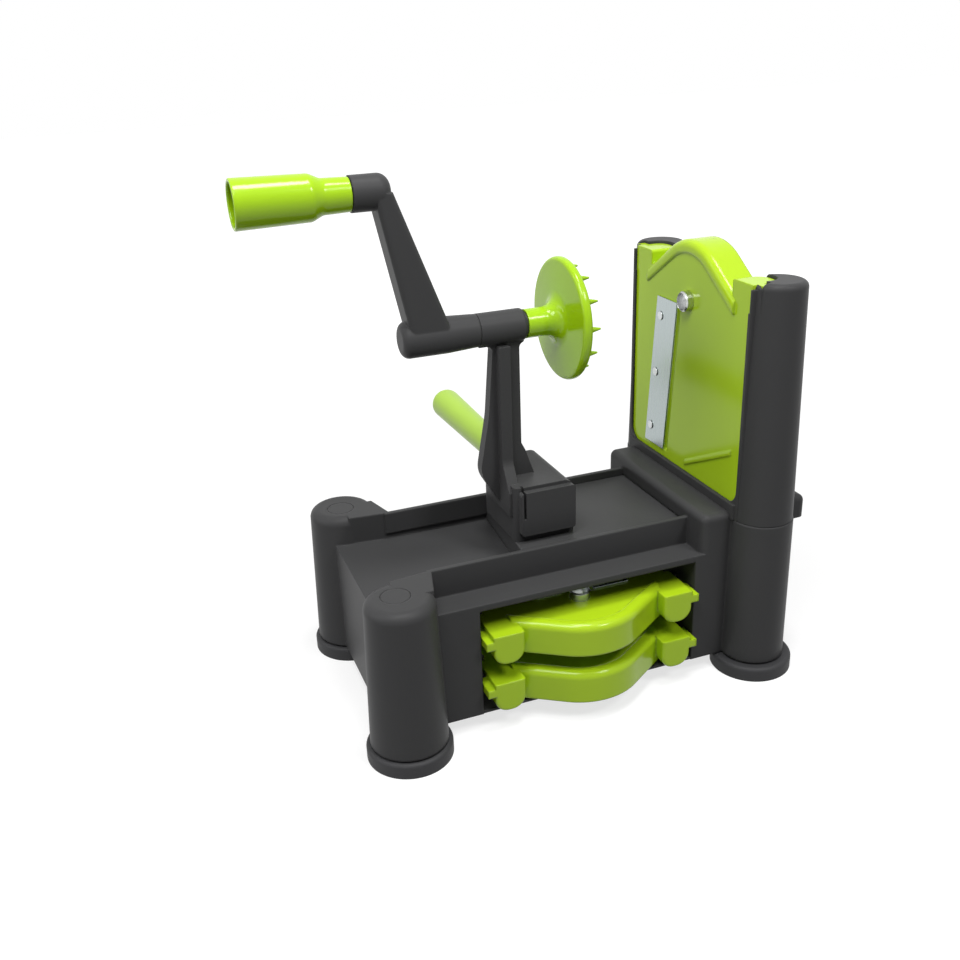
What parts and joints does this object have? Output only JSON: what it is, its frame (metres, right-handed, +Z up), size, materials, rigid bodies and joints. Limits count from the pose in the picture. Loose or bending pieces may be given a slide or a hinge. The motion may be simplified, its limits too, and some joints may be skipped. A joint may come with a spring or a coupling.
{
  "type": "hand cranked spiralizer",
  "caption": "Hand-cranked spiral slicer: sliding crank carriage on a suction-foot base, upright blade panel and stored spare panels in a side bay.",
  "frame": {"origin": "on the counter plane, at the centre of the four suction feet", "axes": "+X along the crank axis from the crank towards the blade panel, +Y towards the push handle, +Z up"},
  "size_m": [0.2826, 0.2303, 0.2825],
  "materials": {
    "dark_plastic": "satin dark grey moulded plastic",
    "foot_rubber": "dark grey rubber",
    "gloss_green": "glossy green plastic",
    "panel_green": "glossy green plastic",
    "handle_green": "light green plastic",
    "bush_plastic": "natural acetal",
    "steel": "plated steel",
    "blade_steel": "ground stainless steel"
  },
  "bodies": {
    "base": {"base_housing": "dark_plastic", "column_plugs": "dark_plastic", "blade_frame": "dark_plastic", "suction_foot_front_left": "foot_rubber", "suction_foot_back_left": "foot_rubber", "suction_foot_front_right": "foot_rubber", "suction_foot_back_right": "foot_rubber", "frame_screws": "steel"},
    "carriage": {"carriage_plate": "dark_plastic", "crank_tower": "dark_plastic", "push_handle": "handle_green", "tower_screws": "steel", "handle_screw": "steel", "outer_sleeve_bush": "bush_plastic", "inner_sleeve_bush": "bush_plastic"},
    "crank": {"crank_arm": "dark_plastic", "crank_shaft": "steel", "thrust_washer": "steel", "food_holder": "gloss_green", "holder_screw": "steel", "grip_screw": "steel", "grip_washer": "steel"},
    "grip": {"turning_grip": "gloss_green"},
    "panel": {"blade_panel": "panel_green", "straight_blade": "blade_steel", "blade_rivets": "blade_steel", "coring_tube": "blade_steel"},
    "upper_panel": {"upper_blade_panel": "panel_green", "upper_straight_blade": "blade_steel", "upper_blade_rivets": "blade_steel", "upper_coring_tube": "blade_steel", "upper_toothed_comb": "blade_steel"},
    "lower_panel": {"lower_blade_panel": "panel_green", "lower_straight_blade": "blade_steel", "lower_blade_rivets": "blade_steel", "lower_coring_tube": "blade_steel", "lower_toothed_comb": "blade_steel"}
  },
  "joints": [
    {"name": "carriage_slide", "type": "slide", "parent": "base", "child": "carriage", "axis": [1, 0, 0], "range_m": [-0.085, 0.06]},
    {"name": "crank_turn", "type": "hinge", "parent": "carriage", "child": "crank", "pos_m": [-0.0243, 0, 0.1989], "axis": [1, 0, 0], "continuous": true},
    {"name": "grip_turn", "type": "hinge", "parent": "crank", "child": "grip", "pos_m": [-0.12, 0, 0.2709], "axis": [1, 0, 0], "continuous": true},
    {"name": "panel_lift", "type": "slide", "parent": "base", "child": "panel", "axis": [0, 0, 1], "range_m": [0, 0.125]},
    {"name": "upper_panel_slide", "type": "slide", "parent": "base", "child": "upper_panel", "axis": [0, -1, 0], "range_m": [0, 0.1]},
    {"name": "lower_panel_slide", "type": "slide", "parent": "base", "child": "lower_panel", "axis": [0, -1, 0], "range_m": [0, 0.1]}
  ]
}
